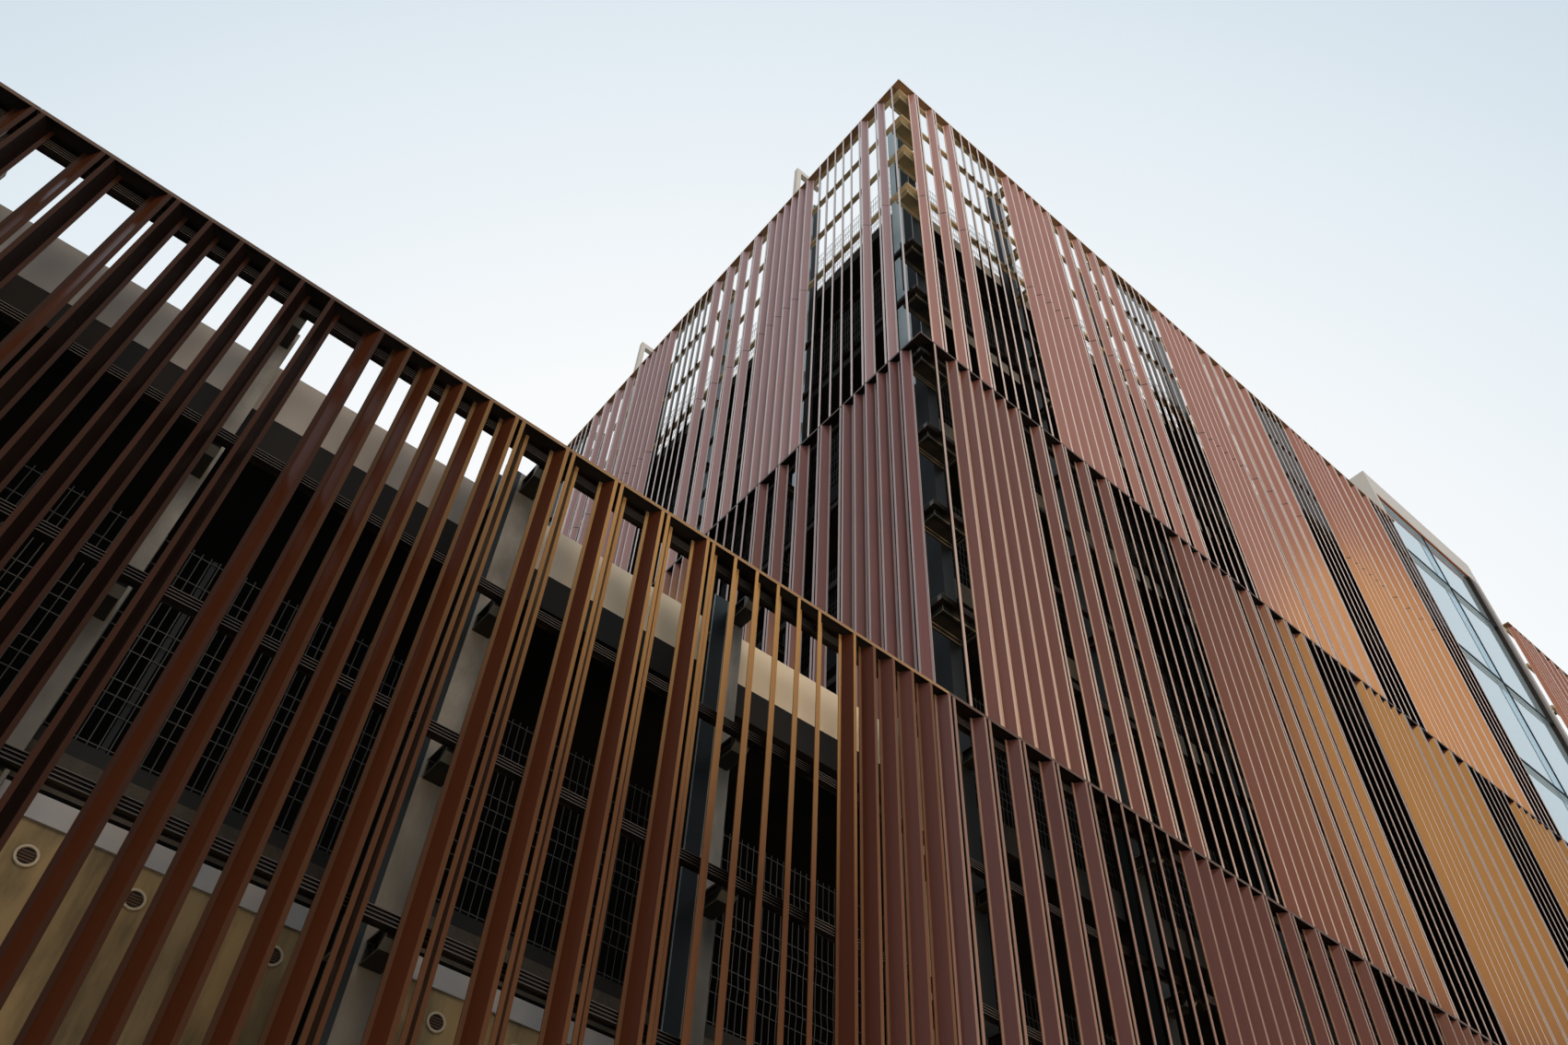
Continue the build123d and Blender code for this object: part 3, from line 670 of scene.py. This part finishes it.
# The wing's parapet in smooth pale cream render, greyer on the left as painted shade
# and warmer and paler on the right as painted warm light, over a dark edge beam, the
# plain parapets at the back, the stair tower's pale frame and the roof posts.
cream, shader, place = surface("cream_render", Specular_IOR_Level=0.2)
patches = noise(place, 0.9, (1, 1, 0.35), 6.0)
grain = noise(place, 45.0, (1, 1, 1), 3.0)
tone = blend(patches, (0.44, 0.405, 0.37, 1), (0.57, 0.52, 0.465, 1))
along = axis(place, "X")
# The right part is paler and warmer as painted warm light; the greyer rest is painted shade.
parapet_warm_light = blend(patches, (0.84, 0.73, 0.54, 1), (0.92, 0.83, 0.66, 1))
tone = blend((along + 10.7) / 1.5, tone, parapet_warm_light)
feed(shader, Base_Color=tone, Roughness=0.65 + 0.2 * patches, Normal=bump(grain, 0.15, 0.002))
dress(cream, "wing_parapet")
dress(deck_face, "back_parapets")
frame_cream, shader, place = surface("frame_cream", Specular_IOR_Level=0.3)
patches = noise(place, 0.7, (1, 1, 0.3), 5.0)
tone = blend(patches, (0.88, 0.83, 0.75, 1), (0.94, 0.91, 0.85, 1))
feed(shader, Base_Color=tone, Roughness=0.5 + 0.2 * patches)
dress(frame_cream, "tower_left_wall", "tower_back_wall", "tower_roof")
beam_coat, shader, place = surface("beam_coat", Specular_IOR_Level=0.12)
patches = noise(place, 0.8, (1, 1, 0.6), 5.0)
feed(shader, Base_Color=blend(patches, (0.012, 0.010, 0.008, 1), (0.026, 0.022, 0.018, 1)))
feed(shader, Roughness=0.4 + 0.25 * patches)
dress(beam_coat, "edge_beam")
dress(frame_cream, "roof_posts")

# Guards: panels of steel wire mesh with three folds for stiffness, on slim posts
# behind the deck edges.
wire_metal, shader, place = surface("wire_metal", Specular_IOR_Level=0.3)
grime = noise(place, 3.0)
spot = axis(place, "X")
depth = axis(place, "Y")
posts = (depth > -5.2691) * (depth < -5.235) + (spot > -5.5991) * (spot < -5.565)
tone = blend(grime, (0.054, 0.052, 0.046, 1), (0.105, 0.101, 0.088, 1))
dark = blend(grime, (0.006, 0.006, 0.005, 1), (0.013, 0.012, 0.010, 1))
feed(shader, Base_Color=blend(posts, tone, dark), Metallic=0.6 - 0.6 * posts)
feed(shader, Roughness=0.35 + 0.2 * grime)
wire_width, wire_pitch, fold = 0.0033, 0.055, 0.009
wire_foot, wire_top = -0.03, 1.43
kerb_top, mesh_foot, mesh_line = 0.09, 0.07, -5.277
cross_levels = [0, 0.2, 0.3, 0.4, 0.6, 0.7, 0.8, 1.0, 1.1, 1.2, 1.4]
folds = {0.3, 0.7, 1.1}


def guard_panel(name, width):
    """A mesh panel along X from the origin, its lowest cross wire at zero, and a post."""
    bpy.ops.object.select_all(action="DESELECT")
    bpy.ops.mesh.primitive_circle_add(
        vertices=3, radius=wire_width, fill_type="NGON", location=(0, 0, 0)
    )
    upright = bpy.context.object
    upright.data.transform(Matrix.Translation((wire_pitch / 2, 0, wire_foot)))
    bpy.ops.object.mode_set(mode="EDIT")
    before, out = wire_foot, 0
    for level in cross_levels[1:-1] + [wire_top]:
        now = -fold if level in folds else 0
        step = (0, now - out, level - before)
        bpy.ops.mesh.extrude_region_move(TRANSFORM_OT_translate={"value": step})
        before, out = level, now
    bpy.ops.mesh.select_all(action="SELECT")
    bpy.ops.mesh.normals_make_consistent(inside=False)
    bpy.ops.object.mode_set(mode="OBJECT")
    row = upright.modifiers.new("row", "ARRAY")
    row.count = int(width / wire_pitch)
    row.use_relative_offset = False
    row.use_constant_offset = True
    row.constant_offset_displace = (width / row.count, 0, 0)
    bpy.ops.object.modifier_apply(modifier=row.name)
    bpy.ops.object.select_all(action="DESELECT")
    bpy.ops.mesh.primitive_cylinder_add(vertices=3, radius=wire_width, depth=width)
    cross = bpy.context.object
    cross.data.transform(Matrix.Rotation(math.radians(90), 4, "Y"))
    spots = [(width / 2, (-fold if z in folds else 0) + wire_width * 1.5, z) for z in cross_levels]
    across = repeat("across", cross, spots)
    post = block("post", -0.015, 0.015, 0.008, 0.038, -mesh_foot, wire_top)
    panel(post, lambda c, n: n.z > 0.5, 0.004, (0, 0, -0.01))
    return together(name, [upright, across, post])


deck_left, deck_front, deck_tall, deck_back = -17.562, -5.352, -5.682, 5.352
deck_levels = [5.40, 8.45, 11.50, 14.55, 17.60, 20.65]
count, width = 4, (x_tall - deck_left) / 4
foot = deck_levels[0] + kerb_top + mesh_foot
spots = [(deck_left + n * width, mesh_line, foot) for n in range(count)]
fixed(repeat("wing_mesh", guard_panel("wing_panel", width), spots), wire_metal, "wing_guard")
front_start = x_tall + 0.5
count, width = 6, (x_tower - front_start) / 6
spots = []
for level in deck_levels:
    for n in range(count):
        spots.append((front_start + n * width, mesh_line, level + kerb_top + mesh_foot))
fixed(repeat("front_mesh", guard_panel("front_panel", width), spots), wire_metal, "front_guards")
side_line, side_gap = deck_tall + 0.075, 0.01
count, width = 4, (deck_back - deck_front) / 4
spots = []
for level in deck_levels[2:]:
    for n in range(count):
        end = deck_back - side_gap - n * width
        foot = level + kerb_top + mesh_foot
        spots.append(Matrix.Translation((side_line, end, foot)) @ turned)
fixed(repeat("side_mesh", guard_panel("side_panel", width), spots), wire_metal, "side_guards")

# Ground floor wall in ochre cream with darker upright marks, partly stains and partly
# painted shadows of the fins, and a folded pale metal flashing on top that laps over
# its face between the columns.
panel_face, shader, place = surface("wall_cream", Specular_IOR_Level=0.2)
along = axis(place, "X")
patches = noise(place, 0.7, (1.6, 1, 0.3), 5.0)
grain = noise(place, 45.0, (1, 1, 1), 3.0)
# Upright dark marks: partly stains, partly painted shadows of the fins.
stains_and_fin_shadows = noise(place, 2.4, (1.6, 1, 0.35), 7.0, 0.62)
tone = blend(patches, (0.28, 0.195, 0.092, 1), (0.48, 0.370, 0.200, 1))
marks_and_fin_shadows = stains_and_fin_shadows.node(
    "ShaderNodeValToRGB", {"stops": [(0.44, (0, 0, 0, 1)), (0.60, (1, 1, 1, 1))]}, {"Fac": stains_and_fin_shadows}, "Color"
)
tone = blend(0.75 * marks_and_fin_shadows, tone, (0.10, 0.082, 0.050, 1))
feed(shader, Base_Color=tone, Roughness=0.6 + 0.2 * patches, Normal=bump(grain, 0.15, 0.002))
dress(panel_face, "ground_wall")
pale_metal, shader, place = surface("pale_metal", Metallic=0.2)
grime = noise(place, 3.0)
feed(shader, Base_Color=blend(grime, (0.33, 0.315, 0.305, 1), (0.50, 0.48, 0.46, 1)))
feed(shader, Roughness=0.4 + 0.2 * grime)
wall_top, wall_thickness, flashing_height = 5.03, 0.15, 0.12
flashing_lap, flashing_joint, lip = 0.012, 0.002, 0.02
stops = sorted(wing_columns + [corner_column] + tall_columns)
starts = [deck_left] + [x + half_column for x in stops]
ends = [x - half_column for x in stops] + [x_tower]
y0, y1 = deck_front - flashing_lap, deck_front + wall_thickness
lengths = []
for x0, x1 in zip(starts, ends):
    first, last = x0 + flashing_joint, x1 - flashing_joint
    strip = block("strip", first, last, y0, y1, wall_top, wall_top + flashing_height)
    push(strip, lambda c, n: n.z < -0.5, (0, 0, -flashing_lap))
    slice_up(strip, [(0, 0, wall_top + lip)], (0, 0, 1))
    push(strip, lambda c, n: n.y < -0.5 and c.z < wall_top + lip, (0, -0.003, 0))
    lengths.append(strip)
fixed(together("flashing_lengths", lengths), pale_metal, "wall_flashing")

# Round vents in the ground floor wall: a cream ring with four tilted louvres over
# an almost black disc that is painted shade inside the duct.
vent_radius, vent_stand, duct_radius, duct_depth = 0.055, 0.012, 0.041, 0.002
bpy.ops.object.select_all(action="DESELECT")
bpy.ops.mesh.primitive_cylinder_add(vertices=40, radius=vent_radius, depth=vent_stand)
ring = bpy.context.object
ring_width, ring_hollow = 0.013, 0.009
ring.data.transform(Matrix.Rotation(math.radians(90), 4, "X"))
panel(ring, lambda c, n: n.y < -0.5, ring_width, (0, ring_hollow, 0))
soften(ring, 0.0015)
louvre = block("louvre", -0.035, 0.035, -0.001, 0.001, -0.0032, 0.0032)
soften(louvre, 0.0006)
louvre.data.transform(Matrix.Rotation(math.radians(35), 4, "X"))
vent_spots, vent_level = [-25.9, -23.6, -20.4, -16.2, -14.0], 4.85
spots = [(x_tall + k * module, deck_front - vent_stand / 2, vent_level) for k in vent_spots]
ring_paint, shader, place = surface("ring_paint", Specular_IOR_Level=0.3)
grime = noise(place, 9.0)
feed(shader, Base_Color=blend(grime, (0.42, 0.36, 0.25, 1), (0.66, 0.59, 0.44, 1)))
feed(shader, Roughness=0.45 + 0.2 * grime)
fixed(repeat("vent_rings", ring, spots), ring_paint, "wall_vents")
slat_paint, shader, place = surface("slat_paint", Specular_IOR_Level=0.3)
grime = noise(place, 9.0)
feed(shader, Base_Color=blend(grime, (0.11, 0.058, 0.036, 1), (0.22, 0.13, 0.085, 1)))
feed(shader, Roughness=0.45 + 0.2 * grime)
levels = (-0.0225, -0.0075, 0.0075, 0.0225)
slats = [(x, y + 0.0005, z + level) for x, y, z in spots for level in levels]
fixed(repeat("vent_slats", louvre, slats), slat_paint)
# An almost black disc behind the louvres is painted shade inside the duct.
duct, shader, place = surface("duct_painted_shade", Specular_IOR_Level=0.1)
feed(shader, Base_Color=blend(noise(place, 30), (0.012, 0.010, 0.009, 1), (0.03, 0.025, 0.02, 1)))
bpy.ops.object.select_all(action="DESELECT")
bpy.ops.mesh.primitive_cylinder_add(vertices=24, radius=duct_radius, depth=duct_depth)
back = bpy.context.object
back.data.transform(Matrix.Rotation(math.radians(90), 4, "X"))
panel(back, lambda c, n: n.y < -0.5, 0.004, (0, 0.0005, 0))
spots = [(x_tall + k * module, deck_front - 0.0038, vent_level) for k in vent_spots]
fixed(repeat("vent_ducts", back, spots), duct)

# Stair tower's glass front: pale blue panes, the pale blue a painted reflection of the
# sky, behind dark bars, with a thin orange brown trim and a dark bar under the frame,
# and its rounded right wall, with a cream painted highlight on its curve.
glass, shader, place = surface("pale_glass", Coat_Weight=1.0, Coat_Roughness=0.02)
drift = noise(place, 0.25, (1, 1, 1), 2.0)
# The panes' pale blue is a painted reflection of the sky.
feed(shader, Base_Color=blend(drift, (0.60, 0.80, 0.88, 1), (0.66, 0.86, 0.94, 1)))
feed(shader, Roughness=0.05 + 0.05 * drift)
dress(glass, "tower_glass")
trim_coat, shader, place = surface("trim_coat", Specular_IOR_Level=0.3)
fade = noise(place, 1.5)
feed(shader, Base_Color=blend(fade, (0.42, 0.10, 0.035, 1), (0.60, 0.19, 0.075, 1)))
feed(shader, Roughness=0.35 + 0.2 * fade)
tower_y, glass_y, glass_left, glass_right, glass_top = -5.843, -5.748, 9.46, 13.47, 25.22
y0, y1 = tower_y + 0.006, tower_y + 0.058
trim_height, head_height = 0.014, 0.020
trim = block("trim", glass_left, glass_right, y0, y1, glass_top - trim_height, glass_top)
panel(trim, lambda c, n: n.z < -0.5, 0.006, (0, 0, -0.006))
soften(trim, 0.002)
fixed(together("tower_trim", [trim]), trim_coat)
bar_coat, shader, place = surface("bar_coat", Specular_IOR_Level=0.05)
grime = noise(place, 2.0, (1, 1, 1), 6.0)
depth = axis(place, "Y")
tone = blend(grime, (0.004, 0.004, 0.004, 1), (0.010, 0.009, 0.009, 1))
polished = depth > -5.790
feed(shader, Base_Color=blend(polished, tone, (0.86, 0.96, 1.0, 1)), Metallic=polished)
feed(shader, Roughness=0.35 + 0.2 * grime - 0.25 * polished)
dress(bar_coat, "tower_bars")
y0, y1 = tower_y + 0.060, glass_y - 0.004
head = block("head", glass_left, glass_right, y0, y1, glass_top - head_height, glass_top)
panel(head, lambda c, n: n.z < -0.5, 0.006, (0, 0, 0.006))
soften(head, 0.002)
fixed(together("tower_head_bar", [head]), bar_coat)
jamb_coat, shader, place = surface("jamb_coat", Specular_IOR_Level=0.3)
along = axis(place, "X")
grime = noise(place, 1.5, (1, 1, 0.3), 4.0)
jamb_width = 0.72
across = (along - glass_right) / jamb_width + 0.06 * (grime - 0.5)
# Along the rounded wall: dark, brown, a cream painted highlight on the curve, then tan.
stops = [(0.0, (0.030, 0.018, 0.010, 1)), (0.30, (0.20, 0.13, 0.075, 1))]
stops += [(0.62, (0.74, 0.66, 0.58, 1)), (1.0, (0.36, 0.26, 0.17, 1))]
tone = along.node("ShaderNodeValToRGB", {"stops": stops}, {"Fac": across}, "Color")
feed(shader, Base_Color=tone, Roughness=0.35 + 0.2 * grime)
dress(jamb_coat, "tower_right_wall")

# Floor, sky and lamps. The floor and the sky are a plain pale stage, and the lamps
# give warm low light, a golden reflection and a pale sky in front.
bpy.ops.object.select_all(action="DESELECT")
bpy.ops.mesh.primitive_plane_add(size=240, location=(0, 0, -0.002))
floor = bpy.context.object
floor.name = "floor"
paving, shader, place = surface("floor_paint", Roughness=0.9)
feed(shader, Base_Color=blend(noise(place, 0.5), (0.56, 0.56, 0.55, 1), (0.60, 0.60, 0.59, 1)))
floor.data.materials.append(paving)

world = bpy.data.worlds.new("sky")
bpy.context.scene.world = world
world.use_nodes = True
tree = world.node_tree
tree.nodes.clear()
path = tree.nodes.new("ShaderNodeLightPath")
seen_by = Wire(tree, path.outputs["Is Camera Ray"]) + Wire(tree, path.outputs["Is Glossy Ray"])
seen_by = seen_by + Wire(tree, path.outputs["Is Transmission Ray"])
lit = seen_by.node("ShaderNodeBackground", inputs={"Color": (0.84, 0.86, 0.88, 1), "Strength": 0.40})
way = Wire(tree, tree.nodes.new("ShaderNodeTexCoord").outputs["Generated"])
glow = way.node(
    "ShaderNodeVectorMath", {"operation": "DOT_PRODUCT"}, {0: way, 1: (0.696, 0.894, 0.349)}, "Value"
)
stops = [(0.45, (0.56, 0.68, 0.78, 1)), (0.60, (0.64, 0.74, 0.82, 1))]
stops += [(0.78, (0.80, 0.87, 0.92, 1)), (0.95, (0.95, 0.967, 0.98, 1))]
sky = glow.node("ShaderNodeValToRGB", {"stops": stops}, {"Fac": glow + 0.046}, "Color")
seen = seen_by.node("ShaderNodeBackground", inputs={"Color": sky, "Strength": 1.0})
mixed = seen_by.node("ShaderNodeMixShader", inputs={0: seen_by, 1: lit, 2: seen})
output = tree.nodes.new("ShaderNodeOutputWorld")
tree.links.new(mixed.socket, output.inputs["Surface"])


def lamp(name, spot, aim, width, height, radiance, colour):
    """A flat lamp at the spot, turned to the aim, that the camera doesn't see."""
    data = bpy.data.lights.new(name, "AREA")
    data.shape = "ELLIPSE"
    data.size = width
    data.size_y = height
    data.energy = radiance * math.pi * math.pi * width * height / 4
    data.color = colour
    holder = bpy.data.objects.new(name, data)
    bpy.context.scene.collection.objects.link(holder)
    holder.location = spot
    holder.rotation_euler = (Vector(aim) - holder.location).to_track_quat("-Z", "Y").to_euler()
    holder.visible_camera = False
    return holder


gold = lamp("gold_sky", (-101, -131, 126), (4, -5, 13), 40, 82, 9.0, (1.0, 0.52, 0.06))
gold.visible_diffuse = False
lamp("warm_street", (-1, -14, 4.5), (-7.5, -6, 7.2), 3, 3, 15.0, (1.0, 0.63, 0.29))
lamp("low_sun", (56, -26, 24), (4, -5, 12), 14, 14, 1.6, (1.0, 0.66, 0.32))
lamp("back_sun", (38, 42, 46), (4, 0, 20), 10, 10, 12.0, (1.0, 0.70, 0.34))
lamp("front_sky", (-20, -48, 44), (-2, -5, 12), 34, 34, 3.6, (1.0, 0.90, 0.81)).visible_glossy = False

bpy.context.scene.view_settings.view_transform = "Standard"
